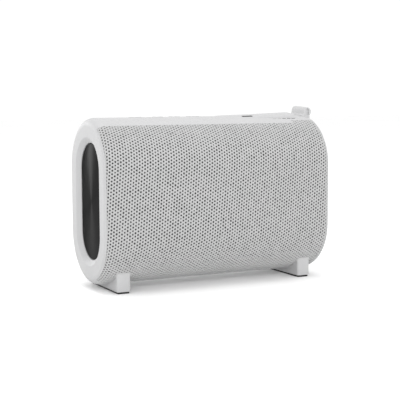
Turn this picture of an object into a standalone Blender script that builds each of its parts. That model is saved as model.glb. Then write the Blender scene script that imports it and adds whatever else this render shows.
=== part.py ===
"""Portable smart speaker: a fabric-wrapped cabinet of stadium section that stands on two foot rails.

Metres, +Z up, +X along the body and -Y to the front. The origin is on the floor under the middle.
"""

import math

import bmesh
import bpy
from mathutils import Vector

# Body
LENGTH = 0.200
DEPTH = 0.082
BODY_HEIGHT = 0.131
FLOOR_GAP = 0.0046  # from the floor to the body's underside
RIM_X = 0.0068  # the rounding at each end, along X
RIM_R = 0.0064  # the same rounding, towards the body's middle
SKIN_END = 57  # degrees round that rim where the fabric and the strips stop
GAP = 0.0003  # between pieces that touch

# Skin, chassis and cabinet, each a depth below the body's surface
SKIN = 0.0024
CHASSIS_WALL = 0.0022
CABINET_WALL = 0.0025
TOP_STRIP_ANGLE = 31.5  # degrees each side of the crest
TOP_STRIP_NARROW = 25.7  # the same beside the strap loop
NARROW_START = 0.0745  # where that begins along X
BASE_STRIP_ANGLE = 22

# End rings and passive radiators, in half widths from the body's middle plane
WINDOW = 0.0217
FLARE_WIDE = 0.0043  # how much wider the window is at the end face
FLARE_DEEP = 0.0030
PLATE_CLEARANCE = 0.0006
PLATE_RECESS = 0.0033
PLATE_THICK = 0.0014
PLATE_CHAMFER = 0.0004
HUB = 0.0135
SURROUND_THICK = 0.0007
SURROUND_LIP = 0.0012
ROLL = 0.0022
FRAME_DEEP = 0.0032
SEAT_COVER = 0.0011  # how far the surround's seat reaches behind the end ring

# Buttons: place along X, length and name
BUTTONS = (
    ("power_button", -0.0590, 0.0100),
    ("bluetooth_button", -0.0392, 0.0080),
    ("volume_down_button", -0.0247, 0.0086),
    ("volume_up_button", -0.0082, 0.0106),
)
BUTTON_WIDTH = 0.0090
CORNER_SHARE = 0.43  # of a button's or a window's shorter side, for its corners
BUTTON_PROUD = 0.0003
BUTTON_CLEARANCE = 0.00035
BUTTON_CHAMFER = 0.0003
BUTTON_FLANGE = 0.0008
BUTTON_TRAVEL = 0.0008
STEM_WIDTH = 0.0050
BOARD_THICK = 0.0012

# Raised plate, microphone window and light bar on the strip
PLATE_START = 0.012
PLATE_SHOULDER = 0.046
PLATE_CORNER = 0.0805
PLATE_STOP = 0.087
PLATE_RISE_START = 0.0005
PLATE_RISE_SHOULDER = 0.0013
PLATE_RISE_CORNER = 0.0025
PLATE_HALF_WIDTH = 0.0125
PLATE_EASE = 9.0  # degrees over which its long edges rise
PLATE_EDGE_SHARE = 0.3  # of its rise, left at those edges
MIC_X = 0.0373
MIC_LENGTH = 0.0100
MIC_WIDTH = 0.0022
MIC_Y = -0.0100
MIC_DEEP = 0.0012  # below the strip's surface
LIGHT_X = 0.0703
LIGHT_LENGTH = 0.0225
LIGHT_WIDTH = 0.0014
LIGHT_DEEP = 0.0012
LIGHT_ANGLE = 20.4

# Strap loop, in the XZ plane
LOOP_RADIUS = 0.0039
LOOP_END_INSET = 0.0  # from the body's end to its outermost point
LOOP_RISE = 0.0033  # the roll's centre above the crest
LOOP_HALF_WIDTH = 0.010
LOOP_SLOPE = 0.058  # its fall towards the front
LOOP_FOOT = 0.0016
LOOP_BLEND = 70  # degrees of the hollow curve between its foot and its roll
LOOP_UNDERCUT = -45  # degrees round the roll where its neck starts
SLOT_WIDTH = 0.0026
SLOT_HEIGHT = 0.0056
SLOT_DEEP = 0.0008  # the recess in each end of the roll

# Feet
FOOT_X = 0.0815
FOOT_WIDTH = 0.0116
FOOT_HALF_LENGTH = 0.0282
FOOT_BOTTOM = 0.0014
FOOT_ROUND = 0.0010
PAD_WIDTH = 0.0100
PAD_INSET = 0.0008  # from the foot's front face to the pad's
PAD_RECESS = 0.0012
PAD_ROUND = 0.0003
SCREW_Y = 0.010
SCREW_RADIUS = 0.0013
SCREW_HEAD_RADIUS = 0.0024
SCREW_HEAD = 0.0012
SCREW_LENGTH = 0.0080

# Speaker drivers, as radius and as height above the cabinet's front face
DRIVER_FLANGE = 0.0240
DRIVER_RIM = 0.0015
DRIVER_HOLE = 0.0215
DRIVER_EDGE = 0.0020  # from a driver's flange to the cabinet's end
BASKET_RADIUS = 0.0212
BASKET_WALL = 0.0013
BASKET_FLOOR = 0.0145
BASKET_NARROW = 0.0135
CONE_RADIUS = 0.0162
CONE_WALL = 0.0006
COIL_RADIUS = 0.0066
COIL_WALL = 0.0007
COIL_CLEARANCE = 0.0035  # between the coil's end and the basket's floor
CAP_RISE = 0.0009  # the dust cap's height at its middle
CAP_SHOULDER = 0.75  # of that height, halfway out
POLE_HEIGHT = 0.0042
MAGNET_RADIUS = 0.0150
MAGNET_DEEP = 0.0082

# Inside
CELL_RADIUS = 0.0092
CELL_LENGTH = 0.0650
TRAY_WALL = 0.0012
TRAY_HEIGHT = 0.0140
TRAY_CLEARANCE = 0.0004
MAIN_BOARD_Y = 0.0150
MAIN_BOARD_HALF_LENGTH = 0.0400
MAIN_BOARD_LOW = -0.0080
MAIN_BOARD_HIGH = 0.0320
SINK_LENGTH = 0.0240
SINK_HEIGHT = 0.0220
SINK_DEEP = 0.0070
SINK_BASE = 0.0016
SINK_FINS = 5

# Charging port in the back
PORT_DROP = 0.0200  # below the body's middle
PORT_LENGTH = 0.0180
PORT_HEIGHT = 0.0080
PORT_INNER = 0.0010  # how far its block reaches into the cabinet
PORT_PROUD = 0.0003
SOCKET_LENGTH = 0.0090
SOCKET_HEIGHT = 0.0033
SOCKET_WALL = 0.00035
SOCKET_DEEP = 0.0074
SOCKET_RECESS = 0.0006
TONGUE_LENGTH = 0.0066
TONGUE_HEIGHT = 0.0007
TONGUE_RECESS = 0.0012

# How finely curves are divided, in degrees
FINE = 6
COARSE = 10
RADIATOR_STEP = 18

HALF_LENGTH = LENGTH / 2
RADIUS = DEPTH / 2
STRAIGHT = BODY_HEIGHT / 2 - RADIUS
CENTRE_Z = FLOOR_GAP + BODY_HEIGHT / 2
CREST_Z = FLOOR_GAP + BODY_HEIGHT
LOWER_CENTRE_Z = CENTRE_Z - STRAIGHT
RIM_START = HALF_LENGTH - RIM_X
CHASSIS_OUT = SKIN + GAP
CHASSIS_IN = CHASSIS_OUT + CHASSIS_WALL
SEAM_ANGLE = math.degrees(GAP / RADIUS)
FRAME_FRONT = RIM_START - GAP
FRAME_BACK = FRAME_FRONT - FRAME_DEEP
CABINET_HALF_LENGTH = FRAME_BACK - GAP


def crest_drop(y, radius):
    """How far the top of a round of this radius falls at this distance from its middle plane."""
    return radius - math.sqrt(radius * radius - y * y)


# The buttons' stack, as depths below the crest: flange, stem, control board, cabinet
FLANGE_DEEP = CHASSIS_IN + GAP + crest_drop(BUTTON_WIDTH / 2 + BUTTON_FLANGE, RADIUS - CHASSIS_IN)
STEM_DEEP = FLANGE_DEEP + BUTTON_FLANGE + 2 * BUTTON_TRAVEL
BOARD_DEEP = STEM_DEEP + BUTTON_TRAVEL + GAP
CABINET_DEEP = BOARD_DEEP + BOARD_THICK + GAP
CABINET_IN = CABINET_DEEP + CABINET_WALL

WHITE = ("light_grey_silicone", (0.66, 0.66, 0.67), 0.55, 0.0)
FABRIC = ("woven_fabric", (0.60, 0.60, 0.60), 0.95, 0.0)
METAL = ("spun_dark_metal", (0.09, 0.09, 0.09), 0.32, 0.9)
RUBBER = ("black_rubber", (0.02, 0.02, 0.02), 0.8, 0.0)
PLASTIC = ("dark_plastic", (0.05, 0.05, 0.055), 0.6, 0.0)
GLOSS = ("black_gloss_plastic", (0.02, 0.02, 0.022), 0.12, 0.0)
BOARD = ("circuit_board", (0.02, 0.11, 0.05), 0.5, 0.0)
PAPER = ("coated_paper_cone", (0.08, 0.08, 0.08), 0.85, 0.0)
STEEL = ("plain_steel", (0.50, 0.50, 0.52), 0.3, 1.0)
ALUMINIUM = ("aluminium_fins", (0.72, 0.72, 0.74), 0.35, 1.0)
CELL = ("battery_wrap", (0.05, 0.20, 0.45), 0.4, 0.0)


def clear_scene():
    for old in list(bpy.data.objects):
        bpy.data.objects.remove(old, do_unlink=True)


def new_collection(name, hidden):
    made = bpy.data.collections.new(name)
    made.hide_render = hidden
    bpy.context.scene.collection.children.link(made)
    return made


clear_scene()
PARTS = new_collection("smart_speaker", False)
CUTTERS = new_collection("cutters", True)


def finish(obj, look):
    """Give an object its material."""
    name, colour, roughness, metallic = look
    made = bpy.data.materials.get(name)
    if made is None:
        made = bpy.data.materials.new(name)
        made.use_nodes = True
        shader = made.node_tree.nodes["Principled BSDF"]
        shader.inputs["Base Color"].default_value = (*colour, 1)
        shader.inputs["Roughness"].default_value = roughness
        shader.inputs["Metallic"].default_value = metallic
    obj.data.materials.clear()
    obj.data.materials.append(made)
    return obj


def object_of(name, mesh, look):
    """Put a mesh in the scene: as a part when it has a look, and as a cutter when it has none."""
    obj = bpy.data.objects.new(name, mesh)
    if look is None:
        CUTTERS.objects.link(obj)
        obj.hide_render = True
        obj.display_type = "WIRE"
        return obj
    PARTS.objects.link(obj)
    mesh.shade_smooth()
    mesh.set_sharp_from_angle(angle=math.radians(35))
    return finish(obj, look)


def loft(name, rows, look, ring=False):
    """Join closed rows of points in order. The ends are capped, or joined to each other in a ring."""
    shape = bmesh.new()
    loops = [[shape.verts.new(point) for point in row] for row in rows]
    pairs = list(zip(loops, loops[1:]))
    if ring:
        pairs.append((loops[-1], loops[0]))
    else:
        shape.faces.new(loops[0])
        shape.faces.new(loops[-1])
    for first, second in pairs:
        count = len(first)
        for i in range(count):
            j = (i + 1) % count
            shape.faces.new((first[i], first[j], second[j], second[i]))
    bmesh.ops.recalc_face_normals(shape, faces=shape.faces)
    mesh = bpy.data.meshes.new(name)
    shape.to_mesh(mesh)
    shape.free()
    return object_of(name, mesh, look)


def box(name, low, high, look, rounding=0.0):
    """A box between two corners, with its edges rounded."""
    shape = bmesh.new()
    bmesh.ops.create_cube(shape, size=1)
    low = Vector(low)
    high = Vector(high)
    bmesh.ops.scale(shape, vec=high - low, verts=shape.verts)
    mesh = bpy.data.meshes.new(name)
    shape.to_mesh(mesh)
    shape.free()
    obj = object_of(name, mesh, look)
    obj.location = (low + high) / 2
    if rounding:
        bevel = obj.modifiers.new("edges", "BEVEL")
        bevel.width = rounding
        bevel.segments = 2
    return obj


def cylinder(name, radius, start, length, axis, look, sides=32):
    """A cylinder from a point along X, Y or Z."""
    shape = bmesh.new()
    bmesh.ops.create_cone(
        shape, cap_ends=True, segments=sides, radius1=radius, radius2=radius, depth=length
    )
    mesh = bpy.data.meshes.new(name)
    shape.to_mesh(mesh)
    shape.free()
    obj = object_of(name, mesh, look)
    direction = Vector(axis)
    obj.rotation_euler = direction.to_track_quat("Z", "Y").to_euler()
    obj.location = Vector(start) + direction * (length / 2)
    return obj


def turned(name, profile, location, to_front, look, closed, steps=20):
    """Turn a profile of (radius, height) about Z. A driver's axis points to the front, so it is tipped."""
    mesh = bpy.data.meshes.new(name)
    points = [(radius, 0, height) for radius, height in profile]
    edges = [(i, i + 1) for i in range(len(points) - 1)]
    if closed:
        edges.append((len(points) - 1, 0))
    mesh.from_pydata(points, edges, [])
    obj = object_of(name, mesh, look)
    screw = obj.modifiers.new("turn", "SCREW")
    screw.steps = steps
    screw.render_steps = steps
    screw.use_merge_vertices = True
    screw.merge_threshold = 0.00001
    obj.location = location
    obj.rotation_euler = (math.pi / 2 if to_front else 0, 0, 0)
    return obj


def cut(target, cutter, operation="DIFFERENCE"):
    made = target.modifiers.new("cut", "BOOLEAN")
    made.operation = operation
    made.solver = "EXACT"
    made.object = cutter


def stations(start, stop, step):
    """Angles round the body's section, 0 at the crest and 90 at the front, each with its arc's centre."""
    marks = [start, *(turn for turn in (90, 270) if start < turn < stop), stop]
    found = []
    for low, high in zip(marks, marks[1:]):
        centre = 1 if math.cos(math.radians((low + high) / 2)) > 0 else -1
        count = max(1, round((high - low) / step))
        for i in range(count + 1):
            found.append((centre, low + (high - low) * i / count))
    return found


def whole_section(step):
    return stations(0, 360, step)[:-1]


def place(x, inset, station):
    """The point at x that lies this far below the body's surface, at one angle round its section."""
    centre, angle = station
    reach = RADIUS - inset
    turn = math.radians(angle)
    return Vector((x, -reach * math.sin(turn), CENTRE_Z + centre * STRAIGHT + reach * math.cos(turn)))


def sweep(name, profile, path, look, ring=False):
    """Carry a closed profile of (x, inset) round the body's section."""
    rows = [[place(x, inset, station) for x, inset in profile] for station in path]
    return loft(name, rows, look, ring)


def stack(name, levels, path, look):
    """Join outlines of the body's section that stand at each (x, inset)."""
    rows = [[place(x, inset, station) for station in path] for x, inset in levels]
    return loft(name, rows, look)


def rim(angle, inset=0.0):
    """(x, inset) on the rounded rim of the +X end: 0 degrees on the side, 90 on the end face."""
    turn = math.radians(angle)
    return (
        RIM_START + (RIM_X - inset) * math.sin(turn),
        RIM_R - (RIM_R - inset) * math.cos(turn),
    )


def spread(start, stop, count):
    return [start + (stop - start) * i / count for i in range(count + 1)]


def mirrored(profile):
    return [(-x, inset) for x, inset in reversed(profile)]


def skin_profile():
    """The closed profile of the skin, turned in round the rim at both ends."""
    outer = [rim(angle) for angle in spread(0, SKIN_END, 4)]
    inner = [rim(angle, SKIN) for angle in spread(SKIN_END, 0, 4)]
    right = outer + inner
    return right + mirrored(right)


def tube_profile(half_length, outer, inner):
    return [(-half_length, outer), (half_length, outer), (half_length, inner), (-half_length, inner)]


def rounded_outline(length, width, radius, steps=4):
    """A rectangle of two sizes with rounded corners, as (along, across)."""
    points = []
    for corner in range(4):
        along = (length / 2 - radius) * (1 if corner in (0, 3) else -1)
        across = (width / 2 - radius) * (1 if corner in (0, 1) else -1)
        for angle in spread(corner * 90, corner * 90 + 90, steps):
            turn = math.radians(angle)
            points.append((along + radius * math.cos(turn), across + radius * math.sin(turn)))
    return points


def upright(name, x, levels, look, y=0.0):
    """Stack rounded outlines at (height, length, width) over the crest, whose round some of them follow."""
    rows = []
    for height, length, width, curved in levels:
        outline = rounded_outline(length, width, min(length, width) * CORNER_SHARE)
        row = []
        for a, b in outline:
            drop = crest_drop(y + b, RADIUS) if curved else 0
            row.append((x + a, y + b, height - drop))
        rows.append(row)
    return loft(name, rows, look)


def body_envelope():
    """The body's outer form, larger by the gap, to cut what stands on it."""
    right = [rim(angle, -GAP) for angle in spread(0, 90, 8)]
    return stack("body_envelope", mirrored(right) + right, whole_section(FINE), None)


ENVELOPE = body_envelope()


# Skin ------------------------------------------------------------------------------------------

front_fabric = sweep(
    "front_fabric",
    skin_profile(),
    stations(TOP_STRIP_NARROW + SEAM_ANGLE, 180 - BASE_STRIP_ANGLE - SEAM_ANGLE, FINE),
    FABRIC,
)
rear_fabric = sweep(
    "rear_fabric",
    skin_profile(),
    stations(180 + BASE_STRIP_ANGLE + SEAM_ANGLE, 360 - TOP_STRIP_NARROW - SEAM_ANGLE, FINE),
    FABRIC,
)
top_strip = sweep(
    "top_strip", skin_profile(), stations(-TOP_STRIP_ANGLE, TOP_STRIP_ANGLE, FINE), WHITE
)
base_strip = sweep(
    "base_strip",
    skin_profile(),
    stations(180 - BASE_STRIP_ANGLE, 180 + BASE_STRIP_ANGLE, FINE),
    WHITE,
)


def skin_block(name, start, stop, low, high):
    """A cutter through the whole skin, from one place along X to another and between two angles."""
    profile = [(start, -RIM_R), (stop, -RIM_R), (stop, 2 * RIM_R), (start, 2 * RIM_R)]
    return sweep(name, profile, stations(low, high, FINE), None)


past_seam = TOP_STRIP_ANGLE + SEAM_ANGLE
strip_room = skin_block("strip_room", -LENGTH, NARROW_START + GAP, -past_seam, past_seam)
cut(front_fabric, strip_room)
cut(rear_fabric, strip_room)
cut(top_strip, skin_block("front_step", NARROW_START, LENGTH, TOP_STRIP_NARROW, 2 * past_seam))
cut(top_strip, skin_block("rear_step", NARROW_START, LENGTH, -2 * past_seam, -TOP_STRIP_NARROW))


def half_tube(name, side, half_length, outer, inner, look):
    """Half of a tube that is split along the crest and the underside."""
    seam = math.degrees(GAP / 2 / (RADIUS - inner))
    start = seam if side == "front" else 180 + seam
    return sweep(
        name,
        tube_profile(half_length, outer, inner),
        stations(start, start + 180 - 2 * seam, COARSE),
        look,
    )


front_grille = half_tube("front_grille", "front", FRAME_FRONT, CHASSIS_OUT, CHASSIS_IN, PLASTIC)
rear_grille = half_tube("rear_grille", "rear", FRAME_FRONT, CHASSIS_OUT, CHASSIS_IN, PLASTIC)
front_cabinet = half_tube(
    "front_cabinet", "front", CABINET_HALF_LENGTH, CABINET_DEEP, CABINET_IN, PLASTIC
)
rear_cabinet = half_tube(
    "rear_cabinet", "rear", CABINET_HALF_LENGTH, CABINET_DEEP, CABINET_IN, PLASTIC
)


# Ends ------------------------------------------------------------------------------------------

SURROUND_IN = HUB + GAP
ROLL_CENTRE = SURROUND_IN + SURROUND_LIP + ROLL + SURROUND_THICK
ROLL_OUT = ROLL_CENTRE + ROLL + SURROUND_THICK
SURROUND_OUT = max(WINDOW, ROLL_OUT) + SEAT_COVER


def facing(side, profile):
    """A profile of (x, half width) at the +X end, as (x, inset) at the chosen end."""
    return [(side * x, RADIUS - half_width) for x, half_width in profile]


def end_ring(name, side):
    window = RADIUS - WINDOW
    seam = math.degrees(GAP / RIM_X)
    under = [rim(angle, CHASSIS_OUT) for angle in spread(0, SKIN_END, 2)]
    face = [rim(angle) for angle in spread(SKIN_END + seam, 90, 3)]
    flare = [(HALF_LENGTH, window - FLARE_WIDE), (HALF_LENGTH - FLARE_DEEP, window)]
    profile = under + face + flare + [(RIM_START, window)]
    return sweep(name, [(side * x, i) for x, i in profile], whole_section(FINE), WHITE, ring=True)


def radiator_plate(name, side):
    """The metal plate, with the hub behind it that its surround holds."""
    edge = WINDOW - PLATE_CLEARANCE
    front = HALF_LENGTH - PLATE_RECESS
    back = front - PLATE_THICK
    levels = [
        (FRAME_BACK - GAP, HUB),
        (back, HUB),
        (back, edge),
        (front - PLATE_CHAMFER, edge),
        (front, edge - PLATE_CHAMFER),
    ]
    return stack(name, facing(side, levels), whole_section(RADIATOR_STEP / 2), METAL)


def radiator_surround(name, side):
    """The rubber half roll between the hub and the frame."""
    front = FRAME_FRONT
    back = front - SURROUND_THICK
    outer_roll = ROLL + SURROUND_THICK
    start = math.degrees(math.asin(SURROUND_THICK / outer_roll))
    profile = [(front, SURROUND_IN)]
    for angle in spread(0, 180, 4):
        turn = math.radians(angle)
        profile.append((front - ROLL * math.sin(turn), ROLL_CENTRE - ROLL * math.cos(turn)))
    profile += [(front, SURROUND_OUT), (back, SURROUND_OUT)]
    for angle in spread(180 - start, start, 4):
        turn = math.radians(angle)
        profile.append(
            (front - outer_roll * math.sin(turn), ROLL_CENTRE - outer_roll * math.cos(turn))
        )
    profile.append((back, SURROUND_IN))
    return sweep(name, facing(side, profile), whole_section(RADIATOR_STEP), RUBBER, ring=True)


def radiator_frame(name, side):
    seat = FRAME_FRONT - SURROUND_THICK - GAP
    outside = RADIUS - CHASSIS_IN - GAP
    profile = [
        (FRAME_FRONT, SURROUND_OUT + GAP),
        (FRAME_FRONT, outside),
        (FRAME_BACK, outside),
        (FRAME_BACK, ROLL_OUT + GAP),
        (seat, ROLL_OUT + GAP),
        (seat, SURROUND_OUT + GAP),
    ]
    return sweep(name, facing(side, profile), whole_section(RADIATOR_STEP), PLASTIC, ring=True)


for end, side in (("left", -1), ("right", 1)):
    end_ring(f"{end}_end_ring", side)
    radiator_plate(f"{end}_radiator_plate", side)
    radiator_surround(f"{end}_radiator_surround", side)
    radiator_frame(f"{end}_radiator_frame", side)


# Buttons ---------------------------------------------------------------------------------------

BUTTON_TOP = CREST_Z + BUTTON_PROUD
FLANGE_TOP = CREST_Z - FLANGE_DEEP
FLANGE_BOTTOM = FLANGE_TOP - BUTTON_FLANGE
STEM_BOTTOM = CREST_Z - STEM_DEEP
BOARD_TOP = CREST_Z - BOARD_DEEP


def button(name, x, length):
    wide = 2 * BUTTON_FLANGE
    narrow = 2 * BUTTON_CHAMFER
    levels = [
        (STEM_BOTTOM, STEM_WIDTH, STEM_WIDTH, False),
        (FLANGE_BOTTOM, STEM_WIDTH, STEM_WIDTH, False),
        (FLANGE_BOTTOM, length + wide, BUTTON_WIDTH + wide, False),
        (FLANGE_TOP, length + wide, BUTTON_WIDTH + wide, False),
        (FLANGE_TOP, length, BUTTON_WIDTH, False),
        (BUTTON_TOP - BUTTON_CHAMFER, length, BUTTON_WIDTH, True),
        (BUTTON_TOP, length - narrow, BUTTON_WIDTH - narrow, True),
    ]
    upright(name, x, levels, WHITE)
    room = 2 * BUTTON_CLEARANCE
    hole = upright(
        f"{name}_hole",
        x,
        [
            (FLANGE_TOP + GAP / 2, length + room, BUTTON_WIDTH + room, False),
            (BUTTON_TOP + BUTTON_PROUD, length + room, BUTTON_WIDTH + room, False),
        ],
        None,
    )
    for shell in (top_strip, front_grille, rear_grille):
        cut(shell, hole)


for button_name, button_x, button_length in BUTTONS:
    button(button_name, button_x, button_length)

box(
    "control_board",
    (BUTTONS[0][1] - BUTTONS[0][2], -STEM_WIDTH, BOARD_TOP - BOARD_THICK),
    (MIC_X + MIC_LENGTH, STEM_WIDTH, BOARD_TOP),
    BOARD,
)


# Raised plate, microphone window, light bar ------------------------------------------------------

plate_angle = math.degrees(math.asin(PLATE_HALF_WIDTH / RADIUS))
PLATE_TOP = (
    (PLATE_STOP - GAP, PLATE_RISE_START + GAP),
    (PLATE_CORNER, PLATE_RISE_CORNER),
    (PLATE_SHOULDER, PLATE_RISE_SHOULDER),
    (PLATE_START, PLATE_RISE_START),
)


def plate_share(angle):
    """How much of the plate's rise it has at one angle. It is thin along its long edges."""
    inside = min((plate_angle - abs(angle)) / PLATE_EASE, 1)
    return PLATE_EDGE_SHARE + (1 - PLATE_EDGE_SHARE) * inside


def plate_row(station):
    share = plate_share(station[1])
    outline = [(PLATE_START, -GAP), (PLATE_STOP, -GAP)]
    outline += [(x, -GAP - (rise - GAP) * share) for x, rise in PLATE_TOP]
    return [place(x, inset, station) for x, inset in outline]


plate_rows = [plate_row(station) for station in stations(-plate_angle, plate_angle, PLATE_EASE / 3)]
top_plate = loft("top_plate", plate_rows, WHITE)


def mic_window():
    slope = (PLATE_RISE_SHOULDER - PLATE_RISE_START) / (PLATE_SHOULDER - PLATE_START)
    rise = PLATE_RISE_START + slope * (MIC_X - PLATE_START)
    turn = math.degrees(math.asin(MIC_Y / RADIUS))
    top = CREST_Z + GAP + (rise - GAP) * plate_share(turn)
    bottom = CREST_Z - MIC_DEEP - crest_drop(MIC_Y - MIC_WIDTH / 2, RADIUS)
    upright(
        "mic_window",
        MIC_X,
        [(bottom, MIC_LENGTH, MIC_WIDTH, False), (top, MIC_LENGTH, MIC_WIDTH, True)],
        PLASTIC,
        MIC_Y,
    )
    room = 2 * GAP
    hole = upright(
        "mic_hole",
        MIC_X,
        [
            (bottom - GAP, MIC_LENGTH + room, MIC_WIDTH + room, False),
            (top + PLATE_RISE_CORNER, MIC_LENGTH + room, MIC_WIDTH + room, False),
        ],
        None,
        MIC_Y,
    )
    cut(top_plate, hole)
    cut(top_strip, hole)


def light_bar():
    """A row of battery lights behind one dark lens, set flush in the strip's front shoulder."""
    middle = place(LIGHT_X, LIGHT_DEEP / 2, (1, LIGHT_ANGLE))
    half = Vector((LIGHT_LENGTH, LIGHT_WIDTH, LIGHT_DEEP)) / 2
    lens = box("light_bar", -half, half, GLOSS)
    room = Vector((GAP, GAP, GAP))
    pocket = box("light_pocket", -half - room, half + room + Vector((0, 0, SKIN)), None)
    lift = pocket.location.copy()
    for obj in (lens, pocket):
        obj.rotation_euler = (math.radians(LIGHT_ANGLE), 0, 0)
        obj.location = middle
    turn = pocket.rotation_euler.to_matrix()
    pocket.location = middle + turn @ lift
    cut(top_strip, pocket)


mic_window()
light_bar()


# Strap loop --------------------------------------------------------------------------------------


def strap_loop():
    """A rolled lug across the strip's end, with a shallow recess in each end of the roll."""
    centre_x = HALF_LENGTH - LOOP_END_INSET - LOOP_RADIUS
    centre_z = CREST_Z + LOOP_RISE
    low = CREST_Z - RIM_R
    left = centre_x - LOOP_RADIUS
    outline = [(left - LOOP_FOOT, low), (left - LOOP_FOOT, CREST_Z + GAP)]
    for angle in spread(0, LOOP_BLEND, 4):
        turn = math.radians(angle)
        outline.append(
            (
                left - LOOP_FOOT * (1 - math.sin(turn)),
                CREST_Z + GAP + LOOP_RISE * (1 - math.cos(turn)) + GAP,
            )
        )
    for angle in spread(180, LOOP_UNDERCUT, 15):
        turn = math.radians(angle)
        outline.append(
            (centre_x + LOOP_RADIUS * math.cos(turn), centre_z + LOOP_RADIUS * math.sin(turn))
        )
    neck_x = outline[-1][0] - GAP
    outline.append((neck_x, low))
    ends = (-LOOP_HALF_WIDTH, LOOP_HALF_WIDTH)
    rows = [[(x, y, z + LOOP_SLOPE * y) for x, z in outline] for y in ends]
    loop = loft("strap_loop", rows, WHITE)
    slot = rounded_outline(SLOT_WIDTH, SLOT_HEIGHT, SLOT_WIDTH / 2 - GAP / 2)
    for side_name, side in (("front", -1), ("rear", 1)):
        depths = (side * (LOOP_HALF_WIDTH - SLOT_DEEP), side * (LOOP_HALF_WIDTH + SLOT_DEEP))
        rows = [[(centre_x + a, y, centre_z + b + LOOP_SLOPE * y) for a, b in slot] for y in depths]
        cut(loop, loft(f"{side_name}_slot", rows, None))
    cut(loop, ENVELOPE)


strap_loop()


# Feet ------------------------------------------------------------------------------------------


def foot_parts(end, side):
    x = side * FOOT_X
    half = FOOT_WIDTH / 2
    pad_half = PAD_WIDTH / 2
    pad_length = FOOT_HALF_LENGTH - PAD_INSET
    pad_top = FOOT_BOTTOM + PAD_RECESS - GAP
    top = LOWER_CENTRE_Z - math.sqrt(RADIUS**2 - FOOT_HALF_LENGTH**2) + FOOT_ROUND
    foot = box(
        f"{end}_foot",
        (x - half, -FOOT_HALF_LENGTH, FOOT_BOTTOM),
        (x + half, FOOT_HALF_LENGTH, top),
        WHITE,
        FOOT_ROUND,
    )
    box(
        f"{end}_foot_pad",
        (x - pad_half, -pad_length, 0),
        (x + pad_half, pad_length, pad_top),
        RUBBER,
        PAD_ROUND,
    )
    room = GAP
    recess = box(
        f"{end}_pad_recess",
        (x - pad_half - room, -pad_length - room, FOOT_BOTTOM - PAD_RECESS),
        (x + pad_half + room, pad_length + room, FOOT_BOTTOM + PAD_RECESS),
        None,
    )
    cut(foot, ENVELOPE)
    cut(foot, recess)
    for place_name, y, grille in (("front", -SCREW_Y, front_grille), ("rear", SCREW_Y, rear_grille)):
        foot_screw(f"{end}_{place_name}_screw", (x, y), foot, grille)


def foot_screw(name, centre, foot, grille):
    """A screw that holds a foot to the chassis through the base strip."""
    seat = FOOT_BOTTOM + PAD_RECESS
    head = seat + GAP
    profile = [
        (0, SCREW_LENGTH),
        (SCREW_RADIUS, SCREW_LENGTH),
        (SCREW_RADIUS, SCREW_HEAD),
        (SCREW_HEAD_RADIUS, SCREW_HEAD),
        (SCREW_HEAD_RADIUS, 0),
        (0, 0),
    ]
    turned(name, profile, (*centre, head), False, STEEL, closed=False, steps=12)
    shaft = cylinder(
        f"{name}_hole",
        SCREW_RADIUS + GAP,
        (*centre, FOOT_BOTTOM),
        SCREW_LENGTH + 2 * seat,
        (0, 0, 1),
        None,
        12,
    )
    bore = cylinder(
        f"{name}_bore",
        SCREW_HEAD_RADIUS + GAP,
        (*centre, FOOT_BOTTOM),
        head + SCREW_HEAD + GAP - FOOT_BOTTOM,
        (0, 0, 1),
        None,
        12,
    )
    for target in (foot, base_strip, grille):
        cut(target, shaft)
    cut(foot, bore)


for end, side in (("left", -1), ("right", 1)):
    foot_parts(end, side)


# Drivers -----------------------------------------------------------------------------------------

DRIVER_X = CABINET_HALF_LENGTH - DRIVER_EDGE - DRIVER_FLANGE
CABINET_FACE = RADIUS - CABINET_DEEP


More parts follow.
